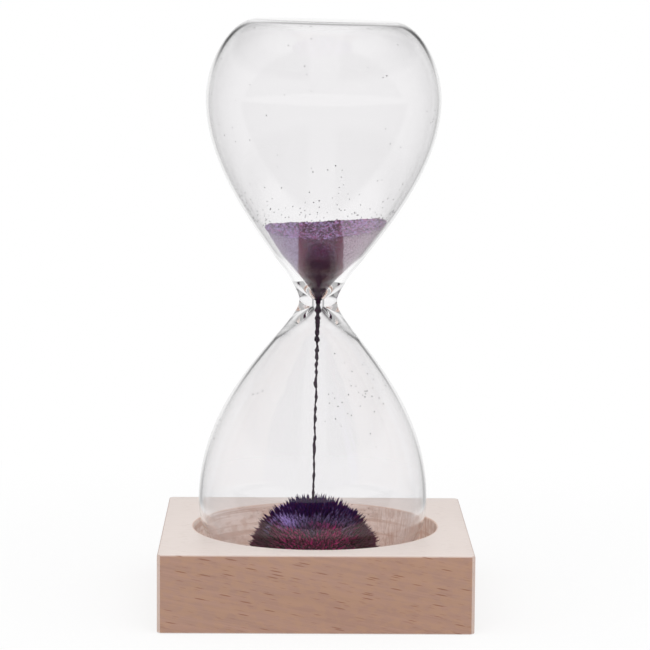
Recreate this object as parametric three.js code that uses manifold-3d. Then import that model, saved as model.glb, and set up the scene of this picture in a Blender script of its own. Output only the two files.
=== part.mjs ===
// Magnetic hourglass: blown glass with iron sand inside, standing in the turned recess of a
// wooden base that hides a magnet. The magnet draws the sand into a spiked pile.
// Millimetres, +Z up, origin at the middle of the base's underside.

import * as THREE from 'three';
import { mergeVertices } from 'three/addons/utils/BufferGeometryUtils.js';
import Module from 'manifold-3d';

// Clearance kept between pieces that rest on or in each other
const SEAT_GAP = 0.3;

// Wooden base: its side follows from the recess, and the recess from the glass
const BASE_HEIGHT = 17.5;
const BASE_EDGE_CHAMFER = 0.3;
const BASE_CORNER_CHAMFER = 0.7;
const BASE_WALL = 7;
const RECESS_CLEARANCE = 1.7;
const RECESS_FLOOR_THICKNESS = 1.7;
const RECESS_RIM_CHAMFER = 0.4;
const RECESS_FLOOR_FILLET = 1.5;

// Magnet in its pocket, and the felt disc that closes the pocket from below
const MAGNET_DIAMETER = 25;
const MAGNET_THICKNESS = 3;
const MAGNET_EDGE_CHAMFER = 0.4;
const COVER_LIP = 4.5;
const COVER_THICKNESS = 1;
const COVER_SETBACK = 0.2;

// Glass: the two bulbs share the neck, the bore, the wall and the flat at each end
const NECK_DIAMETER = 8.7;
const BORE_DIAMETER = 2;
const GLASS_WALL = 0.8;
const END_FLAT_DIAMETER = 31;
const UPPER_BELLY_DIAMETER = 53.5;
const UPPER_NECK_TO_BELLY = 45.7;
const UPPER_BELLY_TO_END = 18.05;
const UPPER_THROAT_LENGTH = 0.5;
const UPPER_FUNNEL_HEIGHT = 7.5;
const LOWER_BELLY_DIAMETER = 52.6;
const LOWER_NECK_TO_BELLY = 45.7;
const LOWER_BELLY_TO_END = 16.85;
const LOWER_THROAT_LENGTH = 1.2;
const LOWER_FUNNEL_HEIGHT = 9;

// Fullness of the blown curves, as shares of the stretch that each handle lies along
const NECK_FULLNESS = 0.125;
const UPPER_FLANK_FULLNESS = 0.455;
const LOWER_FLANK_FULLNESS = 0.55;
const SHOULDER_FULLNESS = 0.5;
const END_FULLNESS = 0.5;
const UPPER_THROAT_FULLNESS = 0.39;
const LOWER_THROAT_FULLNESS = 0.13;
const FUNNEL_FULLNESS = 0.48;

// How the glass stands: its foot is a little out of square and out of the middle
const GLASS_LEAN_DEGREES = 1.2;
const FOOT_OFFSET = -0.95;

// Sand left in the upper bulb: a plug in the funnel with a dished top, drawn off one side
const SAND_LEVEL = 16.8;
const SAND_DISH_DEPTH = 2.2;
const SAND_SIDE_GAP = 1.2;

// Falling thread of sand
const STREAM_FOOT_RADIUS = 0.3;
const STREAM_THINNING = 0.25;
const STREAM_SWAY = 0.25;
const STREAM_SWAYS_ACROSS = 3.5;
const STREAM_SWAYS_DEEP = 2.5;

// Spiked pile over the magnet
const PILE_MARGIN = 1.7;
const PILE_HEIGHT = 13.5;
const SPIKE_LENGTH = 2.3;
const SPIKE_LENGTH_SPREAD = 0.5;
const SPIKE_ROOT_SHARE = 0.8;
const SPIKES_PER_EDGE = 10;

// Facets
const GLASS_SEGMENTS = 36;
const TURNED_SEGMENTS = 60;
const FLANK_STEPS = 10;
const SHOULDER_STEPS = 5;
const FUNNEL_STEPS = 4;
const FILLET_STEPS = 3;
const SAND_CLIMB_STEPS = 12;
const SAND_DISH_STEPS = 4;
const STREAM_STEPS = 30;
const STREAM_SIDES = 6;

// Sizes that follow from the ones above
const GLASS_LEAN = THREE.MathUtils.degToRad(GLASS_LEAN_DEGREES);
const COVER_DIAMETER = MAGNET_DIAMETER + 2 * COVER_LIP;
const COVER_POCKET_DEPTH = COVER_SETBACK + COVER_THICKNESS + SEAT_GAP;
const MAGNET_POCKET_DEPTH = COVER_POCKET_DEPTH + MAGNET_THICKNESS + SEAT_GAP;
const RECESS_FLOOR = MAGNET_POCKET_DEPTH + RECESS_FLOOR_THICKNESS;
const RECESS_RADIUS = LOWER_BELLY_DIAMETER / 2 + RECESS_CLEARANCE;
const BASE_SIDE = 2 * (RECESS_RADIUS + BASE_WALL);
const LOWER_LENGTH = LOWER_NECK_TO_BELLY + LOWER_BELLY_TO_END;

// Colours
const BEECH = 0xd9b79f;
const FERRITE = 0x35343a;
const FELT = 0x2b2a2c;
const CLEAR_GLASS = 0xeceaf0;
const VIOLET_IRON = 0x3b1a3f;

const CUT_MARGIN = 1;
const MERGE_TOLERANCE = 1e-4;
const GOLDEN_SHARE = (Math.sqrt(5) - 1) / 2;

const UPPER = {
  bellyRadius: UPPER_BELLY_DIAMETER / 2,
  neckToBelly: UPPER_NECK_TO_BELLY,
  bellyToEnd: UPPER_BELLY_TO_END,
  flankFullness: UPPER_FLANK_FULLNESS,
  throatLength: UPPER_THROAT_LENGTH,
  throatFullness: UPPER_THROAT_FULLNESS,
  funnelHeight: UPPER_FUNNEL_HEIGHT,
};

const LOWER = {
  bellyRadius: LOWER_BELLY_DIAMETER / 2,
  neckToBelly: LOWER_NECK_TO_BELLY,
  bellyToEnd: LOWER_BELLY_TO_END,
  flankFullness: LOWER_FLANK_FULLNESS,
  throatLength: LOWER_THROAT_LENGTH,
  throatFullness: LOWER_THROAT_FULLNESS,
  funnelHeight: LOWER_FUNNEL_HEIGHT,
};

const wasm = await Module();
wasm.setup();

// Joins and cuts

function solidFrom(geometry) {
  const bare = geometry.clone();
  bare.deleteAttribute('normal');
  bare.deleteAttribute('uv');
  const merged = mergeVertices(bare, MERGE_TOLERANCE);
  const corners = merged.index.array;
  const kept = [];
  for (let i = 0; i < corners.length; i += 3) {
    const [a, b, c] = [corners[i], corners[i + 1], corners[i + 2]];
    if (a !== b && b !== c && c !== a) {
      kept.push(a, b, c);
    }
  }
  return new wasm.Manifold(new wasm.Mesh({
    numProp: 3,
    vertProperties: merged.attributes.position.array,
    triVerts: new Uint32Array(kept),
  }));
}

function geometryFrom(solid) {
  const mesh = solid.getMesh();
  const geometry = new THREE.BufferGeometry();
  geometry.setAttribute('position', new THREE.BufferAttribute(mesh.vertProperties, 3));
  geometry.setIndex(new THREE.BufferAttribute(mesh.triVerts, 1));
  geometry.computeVertexNormals();
  return geometry;
}

// Basic forms, all with their axis along Z

function turned(profile, segments) {
  return new THREE.LatheGeometry(profile, segments).rotateX(Math.PI / 2);
}

function upright(radius, bottom, top) {
  const height = top - bottom;
  const cylinder = new THREE.CylinderGeometry(radius, radius, height, TURNED_SEGMENTS);
  return cylinder.rotateX(Math.PI / 2).translate(0, 0, bottom + height / 2);
}

function chamferedDisc(radius, bottom, top, chamfer) {
  const profile = [
    new THREE.Vector2(0, bottom),
    new THREE.Vector2(radius - chamfer, bottom),
    new THREE.Vector2(radius, bottom + chamfer),
    new THREE.Vector2(radius, top - chamfer),
    new THREE.Vector2(radius - chamfer, top),
    new THREE.Vector2(0, top),
  ];
  return turned(profile, TURNED_SEGMENTS);
}

// A closed skin over a stack of rings, each an equal number of points going round
// anticlockwise seen from above, with a fan over the first and the last ring.
function skinOver(rings) {
  const sides = rings[0].length;
  const points = rings.flat();
  const faces = [];
  for (let i = 0; i + 1 < rings.length; i += 1) {
    for (let j = 0; j < sides; j += 1) {
      const here = i * sides + j;
      const beside = i * sides + (j + 1) % sides;
      faces.push(here, beside, beside + sides);
      faces.push(here, beside + sides, here + sides);
    }
  }
  const middleOf = (ring) => {
    const middle = new THREE.Vector3();
    ring.forEach((point) => middle.add(point));
    return middle.divideScalar(sides);
  };
  const bottom = points.push(middleOf(rings[0])) - 1;
  const top = points.push(middleOf(rings[rings.length - 1])) - 1;
  const lastRing = (rings.length - 1) * sides;
  for (let j = 0; j < sides; j += 1) {
    const next = (j + 1) % sides;
    faces.push(bottom, next, j);
    faces.push(top, lastRing + j, lastRing + next);
  }
  const geometry = new THREE.BufferGeometry().setFromPoints(points);
  geometry.setIndex(faces);
  geometry.computeVertexNormals();
  return geometry;
}

// Wooden base with its recess, and the stepped pocket from below

function baseOutline() {
  const half = BASE_SIDE / 2;
  const flat = half - BASE_CORNER_CHAMFER;
  const outline = new THREE.Shape();
  outline.moveTo(half, -flat);
  outline.lineTo(half, flat);
  outline.lineTo(flat, half);
  outline.lineTo(-flat, half);
  outline.lineTo(-half, flat);
  outline.lineTo(-half, -flat);
  outline.lineTo(-flat, -half);
  outline.lineTo(flat, -half);
  outline.closePath();
  return outline;
}

function recessCutter() {
  const fillet = RECESS_FLOOR_FILLET;
  const rim = RECESS_RADIUS + RECESS_RIM_CHAMFER;
  const top = BASE_HEIGHT + CUT_MARGIN;
  const path = new THREE.Path();
  path.moveTo(0, RECESS_FLOOR);
  path.lineTo(RECESS_RADIUS - fillet, RECESS_FLOOR);
  path.absarc(RECESS_RADIUS - fillet, RECESS_FLOOR + fillet, fillet, -Math.PI / 2, 0, false);
  path.lineTo(RECESS_RADIUS, BASE_HEIGHT - RECESS_RIM_CHAMFER);
  path.lineTo(rim, BASE_HEIGHT);
  path.lineTo(rim, top);
  path.lineTo(0, top);
  return turned(path.getPoints(FILLET_STEPS), TURNED_SEGMENTS);
}

function baseBlockGeometry() {
  const block = new THREE.ExtrudeGeometry(baseOutline(), {
    depth: BASE_HEIGHT - 2 * BASE_EDGE_CHAMFER,
    bevelThickness: BASE_EDGE_CHAMFER,
    bevelSize: BASE_EDGE_CHAMFER,
    bevelOffset: -BASE_EDGE_CHAMFER,
    bevelSegments: 1,
  }).translate(0, 0, BASE_EDGE_CHAMFER);
  const magnetPocket = upright(MAGNET_DIAMETER / 2 + SEAT_GAP, -CUT_MARGIN, MAGNET_POCKET_DEPTH);
  const coverPocket = upright(COVER_DIAMETER / 2 + SEAT_GAP, -CUT_MARGIN, COVER_POCKET_DEPTH);
  const cut = solidFrom(block)
    .subtract(solidFrom(recessCutter()))
    .subtract(solidFrom(magnetPocket))
    .subtract(solidFrom(coverPocket));
  return geometryFrom(cut);
}

function baseMagnetGeometry() {
  const top = MAGNET_POCKET_DEPTH - SEAT_GAP;
  return chamferedDisc(MAGNET_DIAMETER / 2, top - MAGNET_THICKNESS, top, MAGNET_EDGE_CHAMFER);
}

function magnetCoverGeometry() {
  return upright(COVER_DIAMETER / 2, COVER_SETBACK, COVER_SETBACK + COVER_THICKNESS);
}

// Blown glass. Outlines hold points of radius and distance from the neck plane.

function flankCurve(bulb) {
  const neck = NECK_DIAMETER / 2;
  return new THREE.CubicBezierCurve(
    new THREE.Vector2(neck, 0),
    new THREE.Vector2(neck, bulb.neckToBelly * NECK_FULLNESS),
    new THREE.Vector2(bulb.bellyRadius, bulb.neckToBelly * (1 - bulb.flankFullness)),
    new THREE.Vector2(bulb.bellyRadius, bulb.neckToBelly),
  );
}

function shoulderCurve(bulb) {
  const flat = END_FLAT_DIAMETER / 2;
  const length = bulb.neckToBelly + bulb.bellyToEnd;
  return new THREE.CubicBezierCurve(
    new THREE.Vector2(bulb.bellyRadius, bulb.neckToBelly),
    new THREE.Vector2(bulb.bellyRadius, bulb.neckToBelly + bulb.bellyToEnd * SHOULDER_FULLNESS),
    new THREE.Vector2(flat + (bulb.bellyRadius - flat) * END_FULLNESS, length),
    new THREE.Vector2(flat, length),
  );
}

// The point one wall inside the outer curve
function innerPoint(curve, share) {
  const tangent = curve.getTangent(share);
  const inward = new THREE.Vector2(-tangent.y, tangent.x);
  return curve.getPoint(share).addScaledVector(inward, GLASS_WALL);
}

function innerShareAt(curve, distance) {
  let low = 0;
  let high = 1;
  while (high - low > MERGE_TOLERANCE) {
    const middle = (low + high) / 2;
    if (innerPoint(curve, middle).y < distance) {
      low = middle;
    } else {
      high = middle;
    }
  }
  return high;
}

// Shares along a curve from start to 1, both ends included
function sharesFrom(start, steps) {
  return Array.from({ length: steps + 1 }, (unused, i) => start + (1 - start) * i / steps);
}

function outerOutline(bulb) {
  const flank = flankCurve(bulb).getPoints(FLANK_STEPS);
  const shoulder = shoulderCurve(bulb).getPoints(SHOULDER_STEPS);
  return [...flank, ...shoulder.slice(1)];
}

// From the bore at the neck plane, out through the funnel and along the wall to the end
function innerOutline(bulb) {
  const bore = BORE_DIAMETER / 2;
  const flank = flankCurve(bulb);
  const shoulder = shoulderCurve(bulb);
  const join = innerShareAt(flank, bulb.funnelHeight);
  const funnelTop = innerPoint(flank, join);
  const throat = new THREE.Vector2(bore, bulb.throatLength);
  const throatHandle = (funnelTop.y - throat.y) * bulb.throatFullness;
  const funnelHandle = funnelTop.distanceTo(throat) * FUNNEL_FULLNESS;
  const funnel = new THREE.CubicBezierCurve(
    throat,
    new THREE.Vector2(bore, throat.y + throatHandle),
    funnelTop.clone().addScaledVector(flank.getTangent(join), -funnelHandle),
    funnelTop,
  );
  const wall = sharesFrom(join, FLANK_STEPS).map((share) => innerPoint(flank, share));
  const end = sharesFrom(0, SHOULDER_STEPS).map((share) => innerPoint(shoulder, share));
  return [
    new THREE.Vector2(bore, 0),
    ...funnel.getPoints(FUNNEL_STEPS),
    ...wall.slice(1),
    ...end.slice(1),
  ];
}

// A bulb with its open neck at the origin and its closed end up
function bulbGeometry(bulb) {
  const outer = outerOutline(bulb);
  const inner = innerOutline(bulb);
  const outerEnd = new THREE.Vector2(0, outer[outer.length - 1].y);
  const innerEnd = new THREE.Vector2(0, inner[inner.length - 1].y);
  return turned([innerEnd, ...inner.reverse(), ...outer, outerEnd], GLASS_SEGMENTS);
}

// Inner radius of a bulb at a distance from the neck plane, up to its belly
function innerRadiusAt(outline, distance) {
  const above = outline.findIndex((point) => point.y > distance);
  const [low, high] = [outline[above - 1], outline[above]];
  const share = (distance - low.y) / (high.y - low.y);
  return THREE.MathUtils.lerp(low.x, high.x, share);
}

// How far the leaning foot reaches below the middle of its flat end
function footDrop() {
  const drops = outerOutline(LOWER).map((point) => {
    const rise = LOWER_LENGTH - point.y;
    return point.x * Math.sin(GLASS_LEAN) - rise * Math.cos(GLASS_LEAN);
  });
  return Math.max(...drops);
}

// Iron sand

// A ring whose radius is drawn in on the side away from +X
function sandRing(radius, height, sideGap) {
  return Array.from({ length: GLASS_SEGMENTS }, (unused, j) => {
    const angle = 2 * Math.PI * j / GLASS_SEGMENTS;
    const reach = radius - sideGap * (1 - Math.cos(angle)) / 2;
    return new THREE.Vector3(reach * Math.cos(angle), reach * Math.sin(angle), height);
  });
}

// The plug's rings climb the funnel and then run in over the dished top
function upperSandGeometry() {
  const outline = innerOutline(UPPER);
  const rings = [];
  sharesFrom(0, SAND_CLIMB_STEPS).forEach((share) => {
    const height = THREE.MathUtils.lerp(UPPER_THROAT_LENGTH, SAND_LEVEL, share);
    const radius = innerRadiusAt(outline, height) - SEAT_GAP;
    rings.push(sandRing(radius, height, SAND_SIDE_GAP * share));
  });
  const rim = innerRadiusAt(outline, SAND_LEVEL) - SEAT_GAP;
  for (let i = 1; i < SAND_DISH_STEPS; i += 1) {
    const share = 1 - i / SAND_DISH_STEPS;
    const sink = SAND_DISH_DEPTH * (1 - share * share);
    rings.push(sandRing(rim * share, SAND_LEVEL - sink, SAND_SIDE_GAP * share));
  }
  return skinOver(rings);
}

// A lumpy thread from the foot point up to the head point
function streamGeometry(foot, head) {
  const headRadius = BORE_DIAMETER / 2 - SEAT_GAP;
  const rings = sharesFrom(0, STREAM_STEPS).map((share, i) => {
    const fullRadius = THREE.MathUtils.lerp(STREAM_FOOT_RADIUS, headRadius, share ** 2);
    const radius = fullRadius * (1 - STREAM_THINNING * (i * GOLDEN_SHARE % 1));
    const sway = STREAM_SWAY * Math.sin(Math.PI * share);
    const middle = foot.clone().lerp(head, share);
    middle.x += sway * Math.sin(2 * Math.PI * STREAM_SWAYS_ACROSS * share);
    middle.y += sway * Math.cos(2 * Math.PI * STREAM_SWAYS_DEEP * share);
    return Array.from({ length: STREAM_SIDES }, (unused, j) => {
      const angle = 2 * Math.PI * j / STREAM_SIDES;
      const outward = new THREE.Vector3(Math.cos(angle), Math.sin(angle), 0);
      return middle.clone().addScaledVector(outward, radius);
    });
  });
  return skinOver(rings);
}

// A dome of small triangles, each with a needle that points away from the dome's middle.
// The dome is the upper half of a divided octahedron, stretched to the pile's size.
function pileGeometry() {
  const radius = END_FLAT_DIAMETER / 2 - PILE_MARGIN;
  const stretch = new THREE.Vector3(radius, radius, PILE_HEIGHT);
  const ball = new THREE.OctahedronGeometry(1, SPIKES_PER_EDGE - 1).attributes.position;
  const points = [];
  const addFace = (...corners) => points.push(...corners);
  const middle = new THREE.Vector3();
  for (let i = 0; i < ball.count; i += 3) {
    const unit = [0, 1, 2].map((k) => new THREE.Vector3().fromBufferAttribute(ball, i + k));
    const isUpper = unit.reduce((sum, corner) => sum + corner.z, 0) > 0;
    if (isUpper) {
      const corners = unit.map((corner) => corner.multiply(stretch));
      const centre = corners[0].clone().add(corners[1]).add(corners[2]).divideScalar(3);
      const roots = corners.map((corner) => centre.clone().lerp(corner, SPIKE_ROOT_SHARE));
      const draw = (i * GOLDEN_SHARE % 1) - 0.5;
      const length = SPIKE_LENGTH * (1 + SPIKE_LENGTH_SPREAD * draw);
      const tip = centre.clone().addScaledVector(centre.clone().normalize(), length);
      for (let k = 0; k < 3; k += 1) {
        const next = (k + 1) % 3;
        addFace(corners[k], corners[next], roots[next]);
        addFace(corners[k], roots[next], roots[k]);
        addFace(roots[k], roots[next], tip);
        const onFloor = Math.max(corners[k].z, corners[next].z) < MERGE_TOLERANCE;
        if (onFloor) {
          addFace(corners[next], corners[k], middle);
        }
      }
    }
  }
  const geometry = mergeVertices(new THREE.BufferGeometry().setFromPoints(points), MERGE_TOLERANCE);
  geometry.computeVertexNormals();
  return geometry;
}

// Materials and assembly

function finish(color, roughness, metalness, more = {}) {
  return new THREE.MeshStandardMaterial({ color, roughness, metalness, ...more });
}

function glassFinish() {
  return finish(CLEAR_GLASS, 0.04, 0, { transparent: true, opacity: 0.3 });
}

function sandFinish() {
  return finish(VIOLET_IRON, 0.55, 0.5);
}

function addPiece(group, name, geometry, material) {
  const piece = new THREE.Mesh(geometry, material);
  piece.name = name;
  group.add(piece);
  return piece;
}

function buildBase() {
  const base = new THREE.Group();
  addPiece(base, 'base_block', baseBlockGeometry(), finish(BEECH, 0.7, 0));
  addPiece(base, 'base_magnet', baseMagnetGeometry(), finish(FERRITE, 0.5, 0.4));
  addPiece(base, 'magnet_cover', magnetCoverGeometry(), finish(FELT, 0.95, 0));
  return base;
}

// In the glass's own frame the flat end of the lower bulb is at height 0, and the
// crown of the pile stands plumb over the magnet
function buildGlass() {
  const glass = new THREE.Group();
  const neck = LOWER_LENGTH + SEAT_GAP / 2;
  const floor = GLASS_WALL + SEAT_GAP;
  const overMagnet = -FOOT_OFFSET - PILE_HEIGHT * Math.sin(GLASS_LEAN);

  const upperBulb = addPiece(glass, 'upper_bulb', bulbGeometry(UPPER), glassFinish());
  upperBulb.position.z = neck + SEAT_GAP / 2;

  const lowerBulb = addPiece(glass, 'lower_bulb', bulbGeometry(LOWER), glassFinish());
  lowerBulb.position.z = neck - SEAT_GAP / 2;
  lowerBulb.rotation.x = Math.PI;

  const upperSand = addPiece(glass, 'upper_sand', upperSandGeometry(), sandFinish());
  upperSand.position.z = upperBulb.position.z;

  const pile = addPiece(glass, 'sand_pile', pileGeometry(), sandFinish());
  pile.position.set(overMagnet, 0, floor);
  pile.geometry.computeBoundingBox();

  const pileTop = floor + pile.geometry.boundingBox.max.z;
  const streamFoot = new THREE.Vector3(overMagnet, 0, pileTop + SEAT_GAP);
  const streamHead = new THREE.Vector3(0, 0, upperSand.position.z + UPPER_THROAT_LENGTH - SEAT_GAP);
  addPiece(glass, 'sand_stream', streamGeometry(streamFoot, streamHead), sandFinish());

  glass.rotation.y = GLASS_LEAN;
  glass.position.set(FOOT_OFFSET, 0, RECESS_FLOOR + SEAT_GAP + footDrop());
  return glass;
}

const hourglass = new THREE.Group();
hourglass.name = 'magnetic_hourglass';
hourglass.add(buildBase(), buildGlass());

export default hourglass;
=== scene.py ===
"""Looks of a magnetic hourglass: a beech base, a blown glass and iron sand drawn up by a magnet.

Laid out as an add-on: settings, one operator for each piece, a panel, and a main function that
runs the operators in order. Lengths are in metres, in the frame of the solids: +Z up, -Y towards
the viewer, origin in the middle of the base's underside.
"""

import math
from collections import namedtuple

import bpy
from bpy.props import FloatProperty, FloatVectorProperty, IntProperty, PointerProperty
from mathutils import Matrix, Vector, noise


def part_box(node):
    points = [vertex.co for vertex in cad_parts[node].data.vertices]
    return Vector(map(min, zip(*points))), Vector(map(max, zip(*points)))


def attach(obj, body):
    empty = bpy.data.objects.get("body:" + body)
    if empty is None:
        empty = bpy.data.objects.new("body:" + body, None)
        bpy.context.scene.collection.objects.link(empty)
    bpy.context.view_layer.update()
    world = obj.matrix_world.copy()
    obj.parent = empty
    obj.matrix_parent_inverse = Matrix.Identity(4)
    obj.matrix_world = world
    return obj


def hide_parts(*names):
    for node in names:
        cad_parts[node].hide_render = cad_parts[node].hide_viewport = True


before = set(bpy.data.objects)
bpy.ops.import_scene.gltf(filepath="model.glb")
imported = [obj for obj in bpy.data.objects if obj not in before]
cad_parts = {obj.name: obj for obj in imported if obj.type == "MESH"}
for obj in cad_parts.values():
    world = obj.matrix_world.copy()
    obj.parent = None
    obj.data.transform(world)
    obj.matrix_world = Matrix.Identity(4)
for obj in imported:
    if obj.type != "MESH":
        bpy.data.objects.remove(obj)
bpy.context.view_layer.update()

bl_info = {
    "name": "Magnetic hourglass",
    "version": (1, 0, 0),
    "blender": (4, 5, 0),
    "location": "View3D > Sidebar > Hourglass",
    "description": "Builds a magnetic hourglass from its base, glass and iron sand",
    "category": "Object",
}

MM = 0.001

# Places that the solids fix
BASE_LOW, BASE_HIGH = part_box("base_block")
COVER_LOW, COVER_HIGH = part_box("magnet_cover")
PILE_LOW, PILE_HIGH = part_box("sand_pile")
GLASS_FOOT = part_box("lower_bulb")[0].z
STREAM_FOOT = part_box("sand_stream")[0].z
SAND_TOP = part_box("upper_sand")[1].z

# Fullness of the blown curves, as shares of the stretch that each handle lies along
NECK_FULLNESS = 0.125
SHOULDER_FULLNESS = 0.5
END_FULLNESS = 0.5
FUNNEL_FULLNESS = 0.33

# Mesh steps, and the angle from which the block's edges are sharp
GLASS_SEGMENTS = 256
FLANK_STEPS = 48
SHOULDER_STEPS = 36
FUNNEL_STEPS = 20
BASE_POINTS_PER_SIDE = 40
ROUND_STEPS = 4
BASE_SMOOTH_ANGLE = math.radians(30)
FELT_SEGMENTS = 96
FELT_STEPS = 24
SAND_SEGMENTS = 120
SAND_CLIMB_STEPS = 36
SAND_DISH_STEPS = 24
PILE_SEGMENTS = 72
PILE_STEPS = 24
THREAD_STEPS = 260
THREAD_SIDES = 10
NEEDLE_SIDES = 4

# Beech: the relief of its grain, where the recess's looks fade past its wall, and its rough right
BEECH_RELIEF = 0.08 * MM
RECESS_FADE = (0.6 * MM, 0.2 * MM)
ROUGH_RIGHT = (9 * MM, 22 * MM)

# Felt: its soft edge, the height and pitch of its lumps, and the relief of its fibres
FELT_EDGE = 0.3 * MM
FELT_LUMP_HEIGHT = 0.06 * MM
FELT_LUMP_PITCH = 0.9 * MM
FELT_RELIEF = 0.15 * MM

# Magnet: the relief of its grit
MAGNET_RELIEF = 0.05 * MM

# Glass: a ray that was mirrored more often than this is set free
MOST_MIRRORED = 2.5

# Upper sand: the height of its lumps, and the pitch and weight of their layers
SAND_LUMP_HEIGHT = 0.25 * MM
SAND_LUMP_LAYERS = ((1.1 * MM, 1.0), (0.5 * MM, 0.6))

# Upper sand: how its lumps fade down the wall and level off towards the middle
RIM_SHARPNESS = 4
DISH_ROUGHNESS = 0.8

# Upper sand: how far under its top it is dullest, and how far it starts to dull
DULL_UNDER_TOP = (9 * MM, 3 * MM)

# Painted reflections on the upper sand: how ragged and soft their edge is, and where their colour changes
REFLECTION_RAGGED = 0.6 * MM
REFLECTION_SOFT = 0.5 * MM
REFLECTION_CHANGE = (-5 * MM, 5 * MM)

# Thread: how far it reaches into the sand above and the pile below, and how far its foot slants left
THREAD_INTO_SAND = 1.0 * MM
THREAD_INTO_PILE = 1.5 * MM
THREAD_SLANT = 0.9 * MM

# Thread: sways for each lump, how late its head swells, and its lumps' thickness as shares
THREAD_DRIFT = 0.45
THREAD_SWELL = 5.0
THREAD_THICKNESS = (0.5, 1.4)

# Pile: how far its dome stands over the solids' lowest point
PILE_LIFT = 0.1 * MM

# Pile: where its needles turn from painted shade at the roots to the tips, as shares of a needle from the
# dome
NEEDLE_TIP = (-0.1, 0.6)

# Least and most of the strewn shapes' sway, length and proportions
NEEDLE_SWAY = 0.14
NEEDLE_STRETCH = (0.4, 1.15)
GRAIN_STRETCH = ((0.5, 0.4, 0.35), (1.2, 1.0, 0.8))

# Specks: their band under the neck, how they thin out over the sand, and their loose patches
SPECK_BAND = (12 * MM, 34 * MM)
SPECK_FADE = 2.4 * MM
SPECK_PATCH = 8 * MM
SPECK_BARE = 0.1
SPECK_WEIGHT = 0.2

# Specks: their cluster on the right
CLUSTER_RIGHT = 9 * MM
CLUSTER_UNDER_NECK = 22 * MM
CLUSTER_RADIUS = 5 * MM

# Finish of loose iron filings
FILING_METAL = 0.4
FILING_GLOSS = 0.25
FILING_RELIEF = 0.12 * MM

# Floor: its gap under the base and its colours
FLOOR_GAP = 0.1 * MM
FLOOR_COLOUR = (0.9, 0.9, 0.9)
WHITE = (1.0, 1.0, 1.0)

# Floor: where its brightness changes with distance and depth, in metres, and how bright its shadow is
NEAR_FLOOR = (0.09, 0.14)
FRONT_FLOOR = (-0.06, -0.04)
FAR_FRONT_FLOOR = (-2.6, -1.6)
SHADOW_REACH = (0.05, 0.2)
SHADOW_SHARE = 0.8

# Room: where its brightness changes with direction, as parts of a unit vector, and its loss overhead
BACKWARD = (0.84, 0.95)
SIDEWARD = (0.1, 0.3)
OVER_BACKDROP = (0.03, 0.18)
OVERHEAD = (0.2, 0.5)
OVERHEAD_LOSS = 0.9

# Lamps: the point they face, then each one's name, place, size and the setting with its power
LAMP_TARGET = (0, 0, 0.06)
LAMPS = (
    ("top_lamp", (0, -0.6, 0.75), (1.2, 1.2), "top_lamp"),
    ("left_lamp", (-0.8, -0.35, 0.4), (0.5, 0.7), "side_lamp"),
    ("right_lamp", (0.8, -0.35, 0.4), (0.5, 0.7), "side_lamp"),
)

# Camera: nearest and farthest distance that it shows
CAMERA_CLIP = (0.01, 50)

# One bulb: its sizes, and how full its curves are
Bulb = namedtuple(
    "Bulb",
    "belly neck_to_belly belly_to_end throat_length funnel_height flank_fullness throat_fullness",
)


# Settings


def length_setting(name, description, default):
    """A length in metres."""
    return FloatProperty(
        name=name, description=description, default=default, unit="LENGTH", subtype="DISTANCE", precision=5
    )


def angle_setting(name, description, degrees):
    """An angle, written in degrees."""
    return FloatProperty(
        name=name, description=description, default=math.radians(degrees), unit="ROTATION", subtype="ANGLE"
    )


def level_setting(name, description, default):
    """A plain number, such as a share or a strength."""
    return FloatProperty(name=name, description=description, default=default, min=0)


def count_setting(name, description, default):
    """A whole number."""
    return IntProperty(name=name, description=description, default=default, min=0)


def colour_setting(name, description, default):
    """A colour without alpha, in linear values."""
    return FloatVectorProperty(
        name=name, description=description, default=default, size=3, subtype="COLOR", min=0, max=1
    )


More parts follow.
